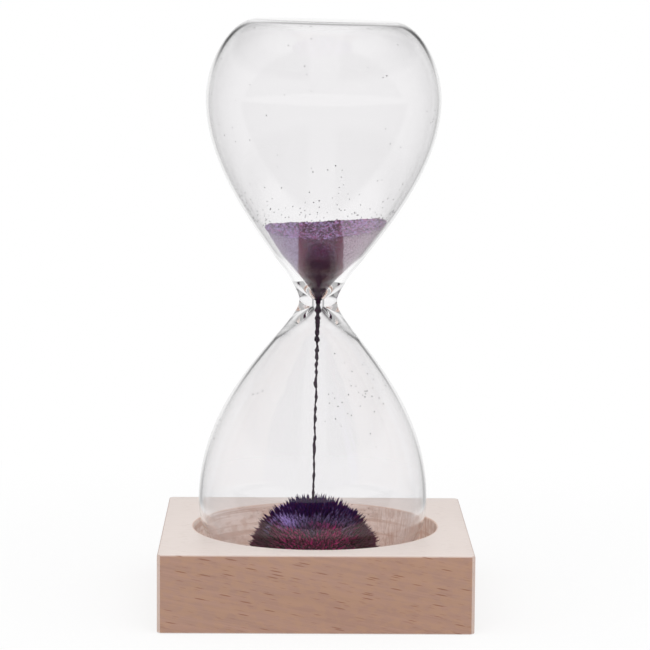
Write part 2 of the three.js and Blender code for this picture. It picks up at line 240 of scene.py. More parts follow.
class BaseSettings(bpy.types.PropertyGroup):
    """Wooden base, its magnet pocket and the felt under it."""

    side: length_setting("Side", "Width of the square block", BASE_HIGH.x - BASE_LOW.x)
    height: length_setting("Height", "Height of the block", BASE_HIGH.z - BASE_LOW.z)
    edge_round: length_setting("Edge round", "Radius along the level edges", 0.35 * MM)
    corner_cut: length_setting("Corner cut", "Chamfer of the upright edges", 0.7 * MM)
    recess_diameter: length_setting("Recess", "Diameter of the turned recess", 56 * MM)
    recess_floor: length_setting("Recess floor", "Height of the recess floor", 6.5 * MM)
    recess_fillet: length_setting("Recess fillet", "Radius round the floor", 1.5 * MM)
    rim_round: length_setting("Rim round", "Radius of the recess rim", 0.4 * MM)
    pocket_diameter: length_setting("Magnet pocket", "Diameter of the magnet pocket", 25.6 * MM)
    pocket_depth: length_setting("Pocket depth", "Depth of the magnet pocket", 4.8 * MM)
    felt_pocket_diameter: length_setting("Felt pocket", "Diameter of the felt pocket", 34.6 * MM)
    felt_pocket_depth: length_setting("Felt pocket depth", "Depth of the felt pocket", 1.5 * MM)
    grain_slope: angle_setting("Grain slope", "Fall of the grain to the right", 11)
    heart: FloatVectorProperty(
        name="Heart",
        description="Where the tree's heart lay, for the growth rings",
        default=(0, 12 * MM, -48 * MM),
        unit="LENGTH",
        subtype="TRANSLATION",
    )
    wood: colour_setting("Beech", "Colour of the plain wood", (0.38, 0.227, 0.172))
    # Top sheen: a painted sheen, the white backdrop's grazing reflection on the top
    top_sheen: colour_setting("Planed top", "Colour of the paler top", (0.835, 0.745, 0.70))
    # Turned recess: the turned wood's paler tone, brightened with painted light against the recess's shade
    turned: colour_setting("Turned recess", "Colour of the turned recess", (0.95, 0.81, 0.745))
    fleck: colour_setting("Flecks", "Colour of the short dark flecks", (0.235, 0.10, 0.055))
    lathe_line: colour_setting("Lathe lines", "Colour of the lines in the recess", (0.62, 0.40, 0.31))
    torn_fibre: colour_setting("Torn fibres", "Colour of the recess's rough right", (0.56, 0.33, 0.235))
    # Share of the painted sheen on the top, and of the paler tone and painted light in the recess
    cut_and_sheen_share: level_setting("Fresh cuts", "How far planed and turned faces pale", 0.88)
    # Edge highlight: painted highlights along the block's edges and corners, where they catch the light
    edge_highlight_share: level_setting("Worn edges", "How far rubbed edges pale", 0.4)
    lathe_share: level_setting("Lathe share", "How strongly the lathe lines show", 0.58)
    fleck_share: level_setting("Fleck share", "How strongly the flecks show", 0.8)
    felt: colour_setting("Felt", "Colour of the felt disc", (0.030, 0.030, 0.034))
    magnet: colour_setting("Magnet", "Colour of the ferrite magnet", (0.045, 0.045, 0.05))


class GlassSettings(bpy.types.PropertyGroup):
    """Blown glass: two bulbs that share a neck."""

    neck_diameter: length_setting("Neck", "Outer diameter at the neck", 8.7 * MM)
    neck_join: length_setting("Neck join", "Straight stretch where the bulbs meet", 0.3 * MM)
    bore_diameter: length_setting("Bore", "Diameter of the hole in the neck", 2 * MM)
    wall: length_setting("Wall", "Thickness of the glass", 0.8 * MM)
    end_flat: length_setting("End flat", "Diameter of the flat ends", 31 * MM)
    upper_belly: length_setting("Upper belly", "Largest diameter of the upper bulb", 53.5 * MM)
    upper_rise: length_setting("Upper rise", "Neck to upper belly", 45.7 * MM)
    upper_shoulder: length_setting("Upper shoulder", "Upper belly to the top", 18.05 * MM)
    lower_belly: length_setting("Lower belly", "Largest diameter of the lower bulb", 52.6 * MM)
    lower_fall: length_setting("Lower fall", "Neck to lower belly", 45.7 * MM)
    lower_shoulder: length_setting("Lower shoulder", "Lower belly to the foot", 16.85 * MM)
    lean: angle_setting("Lean", "Tilt of the glass to the right", 1.2)
    foot_offset: length_setting("Foot offset", "How far the foot stands to the left", 0.95 * MM)
    refraction: level_setting("Refraction", "Index of refraction", 1.47)
    tint: colour_setting("Tint", "Colour of the glass", (0.972, 0.966, 0.972))


class SandSettings(bpy.types.PropertyGroup):
    """Iron sand: what is left above, the falling thread and the spiked pile."""

    level: length_setting("Level", "Sand's height above the neck", 16.8 * MM)
    dish: length_setting("Dish", "Depth of the hollow in the upper sand", 2.2 * MM)
    rim_right: length_setting("Rim right", "How much the right of the sand's rim is raised", 0.9 * MM)
    rim_back: length_setting("Rim back", "How much the back of the sand's rim is raised", 0.7 * MM)
    rim_sides: length_setting("Rim sides", "How much both sides of the sand's rim are raised", 0.65 * MM)
    wall_gap: length_setting("Wall gap", "Sand to glass on the right", 0.12 * MM)
    side_gap: length_setting("Side gap", "Extra gap where the sand is drawn off the left", 1.4 * MM)
    grain: length_setting("Grain", "Size of a loose grain", 0.42 * MM)
    grains: level_setting("Grains", "Loose grains for each square millimetre", 16)
    thread_foot: length_setting("Thread foot", "Radius of the thread at the pile", 0.27 * MM)
    thread_head: length_setting("Thread head", "Radius of the thread in the neck", 0.95 * MM)
    thread_sway: length_setting("Thread sway", "How far the thread strays", 1.3 * MM)
    thread_lump: length_setting("Thread lump", "Length of the thread's lumps", 1.6 * MM)
    pile_radius: length_setting("Pile radius", "Radius of the dome under the needles", 14.0 * MM)
    pile_height: length_setting("Pile height", "Height of the dome", 14.5 * MM)
    needle: length_setting("Needle", "Length of a needle", 2.4 * MM)
    needle_root: length_setting("Needle root", "Radius of a needle's root", 0.4 * MM)
    needle_pitch: length_setting("Needle pitch", "Least distance between needles", 0.6 * MM)
    needles: level_setting("Needles", "Most needles for each square millimetre", 9)
    speck: length_setting("Speck", "Size of a clinging grain", 0.36 * MM)
    speck_pitch: length_setting("Speck pitch", "Least distance between clinging grains", 0.2 * MM)
    specks: level_setting("Specks", "Clinging grains for each square millimetre", 0.55)
    seed: count_setting("Seed", "Seed for the scattered grains", 7)
    speck_seed: count_setting("Speck seed", "Seed for the clinging grains", 27)
    # Shade: also the painted shade at the roots of the pile's needles
    shade: colour_setting("Shade", "Darkest colour of the sand", (0.012, 0.003, 0.014))
    violet: colour_setting("Violet", "Main colour of the sand", (0.062, 0.006, 0.048))
    # Blue and magenta: dyed grains in the upper sand; on the pile, a painted highlight and painted light
    # from the wood
    blue: colour_setting("Blue", "Bluish grains", (0.58, 0.42, 0.90))
    magenta: colour_setting("Magenta", "Reddish grains", (0.66, 0.03, 0.27))
    # Crown: painted shade on the pile's top, where the upright needles trap the light
    crown: colour_setting("Crown", "Needles on top of the pile", (0.024, 0.004, 0.062))
    foot: colour_setting("Foot", "Needles round the foot of the pile", (0.035, 0.011, 0.019))
    # Strip: the dark middle of the sand, between sides made pale with painted reflections
    strip_middle: length_setting("Strip middle", "Where the sand's clean strip lies", 0.8 * MM)
    strip_width: length_setting("Strip width", "Clean strip between the dusty sides", 10 * MM)
    # Painted reflections of the studio in the glass, on both sides of the strip
    painted_reflection_left: colour_setting("Dust left", "Pale dust on the left of the sand", (0.61, 0.51, 0.74))
    painted_reflection_right: colour_setting("Dust right", "Pale dust on the right of the sand", (0.76, 0.62, 0.73))
    fringe: colour_setting("Fringe", "Red along the strip's edges", (0.20, 0.022, 0.08))
    # Painted glints on the top of the upper sand
    painted_glint: colour_setting("Sparkle", "Brightest grains", (0.50, 0.34, 0.70))


class StageSettings(bpy.types.PropertyGroup):
    """Floor, light and camera."""

    camera_x: length_setting("Camera X", "Camera's place to the right", -6.11 * MM)
    camera_y: length_setting("Camera Y", "Camera's place along the view", -672.97 * MM)
    camera_z: length_setting("Camera Z", "Camera's height", 150.03 * MM)
    pitch: angle_setting("Pitch", "How far the camera looks down", 7.2706)
    heading: angle_setting("Heading", "How far the camera looks to the right", 0.688)
    roll: angle_setting("Roll", "Camera's roll", 0.412)
    view_angle: angle_setting("View angle", "Width of the view", 12.528)
    floor_size: length_setting("Floor", "Width of the floor", 8.0)
    sky: level_setting("Sky", "Strength of the light from all round", 0.65)
    room: level_setting("Room", "Brightness of the room and its floor, as glass mirrors them", 0.5)
    front: level_setting("Front", "Brightness of the floor before the base, as glass mirrors it", 0.06)
    above: level_setting("Above", "Brightness of what is over the backdrop, as glass shows it", 0.05)
    top_lamp: level_setting("Top lamp", "Power of the lamp above, in watts", 6.5)
    side_lamp: level_setting("Side lamps", "Power of the lamps at the sides, in watts", 0.4)


# Meshes


def skin(rings):
    """Vertices and faces over a stack of rings of points. A ring with one point is a pole."""
    vertices, numbered = [], []
    for ring in rings:
        numbered.append(range(len(vertices), len(vertices) + len(ring)))
        vertices += ring
    around = max(len(ring) for ring in rings)
    faces = []
    for low, high in zip(numbered, numbered[1:]):
        for i in range(around):
            j = (i + 1) % around
            corners = [low[i % len(low)], low[j % len(low)], high[j % len(high)], high[i % len(high)]]
            faces.append(list(dict.fromkeys(corners)))
    return vertices, faces


def circle(radius, height, segments):
    """Ring of points round the Z axis, or the one point on it."""
    if radius == 0:
        return [Vector((0, 0, height))]
    turns = [2 * math.pi * i / segments for i in range(segments)]
    return [Vector((radius * math.cos(t), radius * math.sin(t), height)) for t in turns]


def pole(height):
    """Single point on the Z axis that closes a stack of rings."""
    return circle(0, height, 1)


def arc(steps):
    """Shares (sine, cosine) along a quarter turn, both ends included."""
    turns = [math.pi / 2 * i / steps for i in range(steps + 1)]
    return [(math.sin(t), math.cos(t)) for t in turns]


def new_piece(name, shells, material, smooth_angle=None):
    """Mesh object of one or more shells, each given by its vertices and faces."""
    vertices, faces = [], []
    for shell_vertices, shell_faces in shells:
        first = len(vertices)
        vertices += shell_vertices
        faces += [[first + i for i in face] for face in shell_faces]
    mesh = bpy.data.meshes.new(name)
    mesh.from_pydata(vertices, [], faces)
    mesh.materials.append(material)
    mesh.shade_smooth()
    if smooth_angle is not None:
        mesh.set_sharp_from_angle(angle=smooth_angle)
    piece = bpy.data.objects.new(name, mesh)
    bpy.context.scene.collection.objects.link(piece)
    return piece


def settle(piece, body, slot, *nodes):
    """Puts a finished piece on its body, in place of the solids that it stands for."""
    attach(piece, body)
    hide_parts(*nodes)


def attribute_vectors(mesh, name, vectors):
    """Stores one vector for each vertex."""
    layer = mesh.attributes.new(name, "FLOAT_VECTOR", "POINT")
    layer.data.foreach_set("vector", [x for v in vectors for x in v])


def attribute_numbers(mesh, name, numbers):
    """Stores one number for each vertex."""
    layer = mesh.attributes.new(name, "FLOAT", "POINT")
    layer.data.foreach_set("value", numbers)


# Node trees

SOCKET_KINDS = {float: "NodeSocketFloat", int: "NodeSocketInt", bool: "NodeSocketBool"}


class Tree:
    """Adds linked nodes to a node tree, with inputs given by name or number."""

    def __init__(self, node_tree):
        self.node_tree = node_tree

    def add(self, kind, inputs=None, **settings):
        """New node. Settings come first, because they decide which inputs it has."""
        node = self.node_tree.nodes.new(kind)
        for name, value in settings.items():
            setattr(node, name, value)
        for key, value in (inputs or {}).items():
            self.feed(self.socket(node, key), value)
        return node

    def socket(self, node, key):
        """Input socket by its number, or by its name among those in use."""
        if isinstance(key, int):
            return node.inputs[key]
        return next(s for s in node.inputs if s.name == key and s.enabled)

    def feed(self, socket, value):
        """Links another node's output to a socket, or sets the socket's own value or opaque colour."""
        if isinstance(value, bpy.types.NodeSocket):
            self.node_tree.links.new(value, socket)
        elif socket.type == "RGBA":
            socket.default_value = (*value, 1.0)
        else:
            socket.default_value = value

    def math(self, operation, *values):
        """Sum, difference or the like of numbers."""
        inputs = dict(enumerate(values))
        return self.add("ShaderNodeMath", inputs, operation=operation).outputs[0]

    def times(self, product, *factors):
        """Product of two or more numbers."""
        for factor in factors:
            product = self.math("MULTIPLY", product, factor)
        return product

    def less(self, whole, part):
        """Difference of two numbers."""
        return self.math("SUBTRACT", whole, part)

    def vector(self, operation, *values):
        """Sum, difference or the like of vectors."""
        inputs = dict(enumerate(values))
        return self.add("ShaderNodeVectorMath", inputs, operation=operation).outputs[0]

    def length(self, vector):
        """Length of a vector."""
        return self.add("ShaderNodeVectorMath", {0: vector}, operation="LENGTH").outputs["Value"]

    def split(self, vector):
        """A vector's parts, by the names X, Y and Z."""
        return self.add("ShaderNodeSeparateXYZ", {0: vector}).outputs

    def joined(self, *parts):
        """Vector of its parts."""
        return self.add("ShaderNodeCombineXYZ", dict(enumerate(parts))).outputs[0]

    def ramp(self, value, low, high, to_low=0.0, to_high=1.0):
        """Smooth step from low to high."""
        inputs = {"Value": value, 1: low, 2: high, 3: to_low, 4: to_high}
        node = self.add("ShaderNodeMapRange", inputs, interpolation_type="SMOOTHSTEP")
        return node.outputs[0]

    def blend(self, share, first, second):
        """Mixed number."""
        return self.add("ShaderNodeMix", {"Factor": share, "A": first, "B": second}).outputs[0]

    def mix(self, share, first, second):
        """Mixed colour."""
        node = self.add("ShaderNodeMix", {"Factor": share}, data_type="RGBA")
        self.feed(node.inputs[6], first)
        self.feed(node.inputs[7], second)
        return node.outputs[2]

    def noise(self, place, scale=1.0, detail=2.0):
        """Soft noise from about 0.2 to 0.8."""
        inputs = {"Vector": place, "Scale": scale, "Detail": detail}
        return self.add("ShaderNodeTexNoise", inputs).outputs["Fac"]

    def mosaic(self, place, scale=1.0):
        """Distance from the middle of each cell, and its random numbers Red, Green and Blue."""
        cells = self.add("ShaderNodeTexVoronoi", {"Vector": place, "Scale": scale}).outputs
        return cells["Distance"], self.add("ShaderNodeSeparateColor", {0: cells["Color"]}).outputs

    def stretched(self, place, steps, turn=(0, 0, 0)):
        """Coordinates turned, then stretched to so many steps per metre."""
        turned = self.add("ShaderNodeMapping", {"Vector": place, "Rotation": turn}).outputs[0]
        return self.add("ShaderNodeMapping", {"Vector": turned, "Scale": steps}).outputs[0]

    def bump(self, height, strength, distance):
        """Normal of a surface raised by a height."""
        inputs = {"Strength": strength, "Distance": distance, "Height": height}
        return self.add("ShaderNodeBump", inputs).outputs[0]

    def principled(self, inputs):
        """Shader with the given inputs."""
        return self.add("ShaderNodeBsdfPrincipled", inputs).outputs[0]

    def attribute(self, name, kind):
        """A mesh's own attribute, in a geometry tree."""
        node = self.add("GeometryNodeInputNamedAttribute", {"Name": name}, data_type=kind)
        return node.outputs["Attribute"]


def new_group(name, defaults):
    """Geometry tree that takes a mesh, numbers with defaults and a material, and its input sockets."""
    group = bpy.data.node_groups.new(name, "GeometryNodeTree")
    group.interface.new_socket("Geometry", in_out="INPUT", socket_type="NodeSocketGeometry")
    for label, default in defaults.items():
        item = group.interface.new_socket(label, in_out="INPUT", socket_type=SOCKET_KINDS[type(default)])
        item.default_value = default
    group.interface.new_socket("Material", in_out="INPUT", socket_type="NodeSocketMaterial")
    group.interface.new_socket("Geometry", in_out="OUTPUT", socket_type="NodeSocketGeometry")
    tree = Tree(group)
    return tree, tree.add("NodeGroupInput").outputs


def close_group(tree, geometry, material):
    """Makes instances real, gives all of it the material and hands it out."""
    real = tree.add("GeometryNodeRealizeInstances", {"Geometry": geometry}).outputs[0]
    done = tree.add("GeometryNodeSetMaterial", {"Geometry": real, "Material": material}).outputs[0]
    tree.add("NodeGroupOutput", {"Geometry": done})
    return tree.node_tree


def scatter_tree(name, add_shape, add_pose):
    """Tree that strews a small shape over a mesh, whose cling attribute gives the density."""
    lengths = dict.fromkeys(("Size", "Width", "Least distance"), MM)
    tree, given = new_group(name, {**lengths, "Density": 1.0, "Seed": 0, "Keep surface": True})
    points = tree.add(
        "GeometryNodeDistributePointsOnFaces",
        {
            "Mesh": given["Geometry"],
            "Distance Min": given["Least distance"],
            "Density Max": given["Density"],
            "Density Factor": tree.attribute("cling", "FLOAT"),
            "Seed": given["Seed"],
        },
        distribute_method="POISSON",
    ).outputs["Points"]

    def draw(low, high, kind, offset):
        """Random value for each point, from the seed and an offset of its own."""
        seed = tree.math("ADD", given["Seed"], offset)
        inputs = {"Min": low, "Max": high, "Seed": seed}
        node = tree.add("FunctionNodeRandomValue", inputs, data_type=kind)
        return next(s for s in node.outputs if s.enabled)

    rotation, scale = add_pose(tree, draw)
    shape = add_shape(tree, given)
    strewn = tree.add(
        "GeometryNodeInstanceOnPoints",
        {"Points": points, "Instance": shape, "Rotation": rotation, "Scale": scale},
    ).outputs["Instances"]
    under = tree.add(
        "GeometryNodeSwitch",
        {"Switch": given["Keep surface"], "True": given["Geometry"]},
        input_type="GEOMETRY",
    ).outputs[0]
    both = tree.add("GeometryNodeJoinGeometry", {"Geometry": under})
    tree.feed(both.inputs["Geometry"], strewn)
    return close_group(tree, both.outputs[0], given["Material"])


def needle_shape(tree, given):
    """Slim cone standing on its root."""
    return tree.add(
        "GeometryNodeMeshCone",
        {
            "Vertices": NEEDLE_SIDES,
            "Radius Top": 0.0,
            "Radius Bottom": given["Width"],
            "Depth": given["Size"],
        },
        fill_type="NONE",
    ).outputs["Mesh"]


def needle_pose(tree, draw):
    """Needles stand along the mesh's field attribute, swayed a little, each with its own length."""
    sway = draw((-NEEDLE_SWAY,) * 3, (NEEDLE_SWAY,) * 3, "FLOAT_VECTOR", 1)
    along = tree.vector("ADD", tree.attribute("field", "FLOAT_VECTOR"), sway)
    upright = tree.add("FunctionNodeAlignRotationToVector", {"Vector": along}, axis="Z")
    stretch = draw(*NEEDLE_STRETCH, "FLOAT", 2)
    return upright.outputs["Rotation"], tree.joined(1.0, 1.0, stretch)


def grain_shape(tree, given):
    """Angular grain."""
    radius = tree.times(given["Size"], 0.5)
    grain = tree.add("GeometryNodeMeshIcoSphere", {"Radius": radius, "Subdivisions": 1})
    return grain.outputs["Mesh"]


def grain_pose(tree, draw):
    """Grains lie any way, each with its own proportions."""
    angles = draw((0, 0, 0), (math.tau,) * 3, "FLOAT_VECTOR", 1)
    turned = tree.add("FunctionNodeEulerToRotation", {"Euler": angles})
    return turned.outputs["Rotation"], draw(*GRAIN_STRETCH, "FLOAT_VECTOR", 2)


def thread_tree(name):
    """Tree that makes a lumpy, swaying thread along a mesh path, thick only near its head."""
    lengths = dict.fromkeys(("Foot radius", "Head radius", "Sway", "Lump length"), MM)
    tree, given = new_group(name, {**lengths, "Steps": THREAD_STEPS, "Sides": THREAD_SIDES})
    curve = tree.add("GeometryNodeMeshToCurve", {"Mesh": given["Geometry"]}).outputs[0]
    fine = tree.add("GeometryNodeResampleCurve", {"Curve": curve, "Count": given["Steps"]}).outputs[0]
    share = tree.add("GeometryNodeSplineParameter").outputs["Factor"]
    place = tree.add("GeometryNodeInputPosition").outputs[0]
    lumps_per_metre = tree.math("DIVIDE", 1.0, given["Lump length"])

    drift_inputs = {"Vector": place, "Scale": tree.times(lumps_per_metre, THREAD_DRIFT)}
    drift = tree.add("ShaderNodeTexNoise", drift_inputs).outputs["Color"]
    either_way = tree.vector("SUBTRACT", drift, (0.5, 0.5, 0.5))
    held_at_ends = tree.math("SINE", tree.times(share, math.pi))
    reach = tree.times(held_at_ends, given["Sway"])
    offset = tree.add("ShaderNodeVectorMath", {0: either_way, "Scale": reach}, operation="SCALE")
    moved = tree.add("GeometryNodeSetPosition", {"Geometry": fine, "Offset": offset.outputs[0]}).outputs[0]

    swell = tree.math("POWER", share, THREAD_SWELL)
    taper = tree.blend(swell, given["Foot radius"], given["Head radius"])
    lump = tree.noise(place, lumps_per_metre, 3.0)
    radius = tree.times(taper, tree.ramp(lump, 0.32, 0.68, *THREAD_THICKNESS))
    section = tree.add("GeometryNodeCurvePrimitiveCircle", {"Resolution": given["Sides"], "Radius": 1.0})
    tube = tree.add(
        "GeometryNodeCurveToMesh",
        {"Curve": moved, "Profile Curve": section.outputs["Curve"], "Scale": radius, "Fill Caps": True},
    ).outputs[0]
    return close_group(tree, tube, given["Material"])


def grow(piece, group, inputs):
    """Runs a tree on a piece, with inputs given by name, and keeps the result as its plain mesh."""
    inputs = {**inputs, "Material": piece.data.materials[0]}
    modifier = piece.modifiers.new(group.name, "NODES")
    modifier.node_group = group
    for item in group.interface.items_tree:
        if item.in_out == "INPUT" and item.name in inputs:
            modifier[item.identifier] = inputs[item.name]
    evaluated = piece.evaluated_get(bpy.context.evaluated_depsgraph_get())
    mesh = bpy.data.meshes.new_from_object(evaluated)
    piece.modifiers.remove(modifier)
    piece.data = mesh


# Materials


def toned(colour, red, green=None, blue=None):
    """Colour times a share, or times a share for each of red, green and blue."""
    shares = (red, red, red) if green is None else (red, green, blue)
    return [part * share for part, share in zip(colour, shares)]


def new_material(name):
    """Empty material with its tree and its output's surface socket."""
    material = bpy.data.materials.new(name)
    material.use_nodes = True
    material.node_tree.nodes.clear()
    tree = Tree(material.node_tree)
    output = tree.add("ShaderNodeOutputMaterial")
    return material, tree, output.inputs["Surface"]


def shared_material(name, add_looks, *settings):
    """The opaque material of that name, made on first use from its shader's inputs."""
    if name not in bpy.data.materials:
        tree, surface = new_material(name)[1:]
        tree.feed(surface, tree.principled(add_looks(tree, *settings)))
    return bpy.data.materials[name]


class Wood:
    """Marks of the beech block. Each method that takes a colour gives it back with its marks on it."""

    def __init__(self, tree, base):
        self.tree = tree
        self.base = base
        self.slope = (0, -base.grain_slope, 0)
        coordinates = tree.add("ShaderNodeTexCoord").outputs
        self.place = coordinates["Object"]
        self.axes = tree.split(self.place)
        facing = tree.split(coordinates["Normal"])
        self.endwise, self.across, self.upward = (tree.math("ABSOLUTE", facing[axis]) for axis in "XYZ")
        self.radius = tree.length(tree.vector("MULTIPLY", self.place, (1, 1, 0)))
        recess = base.recess_diameter / 2
        self.inside = tree.ramp(self.radius, *(recess + past for past in RECESS_FADE))
        self.outside = tree.less(1.0, self.inside)

    def along_grain(self, steps, detail=2.0):
        """Noise with so many steps per metre along, across and through the sloping grain."""
        return self.tree.noise(self.tree.stretched(self.place, steps, self.slope), detail=detail)

    def dashes(self, steps, rare):
        """Short dashes along the grain: a share of the cells of a drawn-out mosaic."""
        tree = self.tree
        distance, chance = tree.mosaic(tree.stretched(self.place, steps, self.slope))
        return tree.times(tree.ramp(distance, 0.33, 0.17), tree.ramp(chance["Red"], rare, rare + 0.15))

    def flecks(self):
        """Long flecks and fainter short ones, weaker on the block's ends and top."""
        tree = self.tree
        long_flecks = self.dashes((190, 1900, 1900), 0.62)
        short_flecks = tree.times(self.dashes((330, 2700, 2700), 0.6), 0.4)
        either = tree.math("MAXIMUM", long_flecks, short_flecks)
        weaker_on_ends = tree.ramp(self.endwise, 0.3, 0.8, 1.0, 0.25)
        weaker_on_top = tree.ramp(self.upward, 0.5, 1.0, 1.0, 0.22)
        return tree.times(either, weaker_on_ends, weaker_on_top, self.base.fleck_share)

    def plain(self, streaks):
        """Streaked colour with warmer clouds and a yellower mottle."""
        tree, wood = self.tree, self.base.wood
        fibres = self.along_grain((70, 3200, 3200))
        clouds = self.along_grain((25, 90, 90))
        mottle = self.along_grain((420, 900, 900), 3.0)
        grained = tree.math("ADD", tree.times(streaks, 0.5), tree.times(fibres, 0.5))
        streaked = tree.mix(tree.ramp(grained, 0.3, 0.7), toned(wood, 0.88), toned(wood, 1.04))
        cloudy = tree.times(tree.ramp(clouds, 0.35, 0.75), 0.35)
        warm = tree.mix(cloudy, streaked, toned(wood, 0.88, 0.80, 0.74))
        return tree.mix(tree.ramp(mottle, 0.42, 0.62, 0.0, 0.45), warm, toned(wood, 1.08, 1.06, 0.86))

    def paled_by_cut_and_painted_light(self, colour):
        """Painted sheen on top, a recess paled by its turning and by painted light, painted edge highlights.
        """
        tree, base = self.tree, self.base
        # Painted sheen on the top; in the recess, its paler turned tone with painted light against its shade
        cut = tree.mix(self.inside, base.top_sheen, base.turned)
        top_and_recess = tree.math("MAXIMUM", tree.ramp(self.upward, 0.8, 1.0), self.inside)
        pale = tree.mix(tree.times(top_and_recess, base.cut_and_sheen_share), colour, cut)
        # Painted highlights along the cut corners and the rounded edges
        corner = tree.math("MINIMUM", self.endwise, self.across)
        bevel = tree.math("MINIMUM", self.upward, tree.math("MAXIMUM", self.endwise, self.across))
        edge = tree.ramp(tree.math("MAXIMUM", corner, bevel), 0.2, 0.6)
        return tree.mix(tree.times(edge, self.outside, base.edge_highlight_share), pale, base.top_sheen)

    def ringed(self, colour):
        """Growth rings round the tree's heart, on the block's ends."""
        tree, base = self.tree, self.base
        heart = tree.split(tree.vector("SUBTRACT", self.place, base.heart))
        depth_squared = tree.times(heart["Y"], heart["Y"])
        years = tree.math("SQRT", tree.math("MULTIPLY_ADD", heart["Z"], heart["Z"], depth_squared))
        growth = tree.ramp(tree.noise(tree.joined(years), 520.0), 0.4, 0.62, 0.12, 0.5)
        end_grain = tree.times(tree.ramp(self.endwise, 0.8, 1.0), tree.ramp(self.inside, 0.0, 1.0, 1.0, 0.0))
        return tree.mix(tree.times(end_grain, growth), colour, toned(base.wood, 0.7, 0.6, 0.5))

    def turned(self, colour):
        """Lathe lines, torn fibres on the right and broad grain lines, all in the recess."""
        tree, base = self.tree, self.base
        cut_depth = tree.math("ADD", self.radius, self.axes["Z"])
        cut_place = tree.joined(self.axes["X"], self.axes["Y"], cut_depth)
        turning = tree.noise(tree.stretched(cut_place, (25, 25, 1100)))
        lathe = tree.times(self.inside, tree.ramp(turning, 0.49, 0.6), base.lathe_share)
        lathe_lined = tree.mix(lathe, colour, base.lathe_line)
        fibre_ends = tree.noise(tree.stretched(self.place, (2400, 2400, 260)))
        rough_side = tree.ramp(self.axes["X"], *ROUGH_RIGHT, 0.0, 0.8)
        torn = tree.times(self.inside, rough_side, tree.ramp(fibre_ends, 0.38, 0.66, 0.15, 1.0))
        torn_right = tree.mix(torn, lathe_lined, base.torn_fibre)
        broad = self.along_grain((12, 650, 650))
        grain_lines = tree.times(self.inside, tree.ramp(broad, 0.5, 0.66, 0.0, 0.45))
        return tree.mix(grain_lines, torn_right, base.lathe_line)


def beech_looks(tree, base):
    """Sanded beech: streaks, flecks, end rings and recess lathe lines, with painted sheen, highlights and
    light.
    """
    wood = Wood(tree, base)
    streaks = wood.along_grain((45, 1300, 1300), 3.0)
    flecks = wood.flecks()
    colour = wood.turned(wood.ringed(wood.paled_by_cut_and_painted_light(wood.plain(streaks))))
    return {
        "Base Color": tree.mix(flecks, colour, base.fleck),
        "Roughness": tree.ramp(streaks, 0.2, 0.8, 0.5, 0.38),
        "Normal": tree.bump(tree.less(streaks, flecks), 0.25, BEECH_RELIEF),
    }


def felt_looks(tree, base):
    """Pressed felt: matt, with loose fibres that cross."""
    place = tree.add("ShaderNodeTexCoord").outputs["Object"]
    fibres = tree.noise(tree.stretched(place, (900, 2600, 2600)), detail=4.0)
    crossing = tree.noise(tree.stretched(place, (2600, 900, 2600), (0, 0, 0.6)), detail=4.0)
    fuzz = tree.math("MAXIMUM", fibres, crossing)
    return {
        "Base Color": tree.mix(tree.ramp(fuzz, 0.45, 0.75), toned(base.felt, 0.6), toned(base.felt, 2.2)),
        "Roughness": 0.95,
        "Sheen Weight": 0.4,
        "Normal": tree.bump(fuzz, 0.6, FELT_RELIEF),
    }


def magnet_looks(tree, base):
    """Sintered ferrite: dark, matt and slightly grainy."""
    place = tree.add("ShaderNodeTexCoord").outputs["Object"]
    grit = tree.noise(place, 3500.0, 3.0)
    return {
        "Base Color": tree.mix(grit, toned(base.magnet, 0.7), toned(base.magnet, 1.4)),
        "Roughness": 0.55,
        "Normal": tree.bump(grit, 0.3, MAGNET_RELIEF),
    }


def glass_material(glass):
    """Clear blown glass that lets lamps shine through to the sand, and frees rays trapped in it."""
    material, tree, surface = new_material("clear_glass")
    path = tree.add("ShaderNodeLightPath").outputs
    looks = {
        "Base Color": glass.tint,
        "Roughness": 0.0,
        "IOR": glass.refraction,
        "Transmission Weight": 1.0,
    }
    clear = tree.principled(looks)
    through = tree.add("ShaderNodeBsdfTransparent").outputs[0]
    passed = tree.math("MAXIMUM", path["Is Shadow Ray"], path["Is Diffuse Ray"])
    trapped = tree.math("GREATER_THAN", path["Glossy Depth"], MOST_MIRRORED)
    freed = tree.math("MAXIMUM", passed, trapped)
    mixed = tree.add("ShaderNodeMixShader", {0: freed, 1: clear, 2: through})
    tree.feed(surface, mixed.outputs[0])
    return material


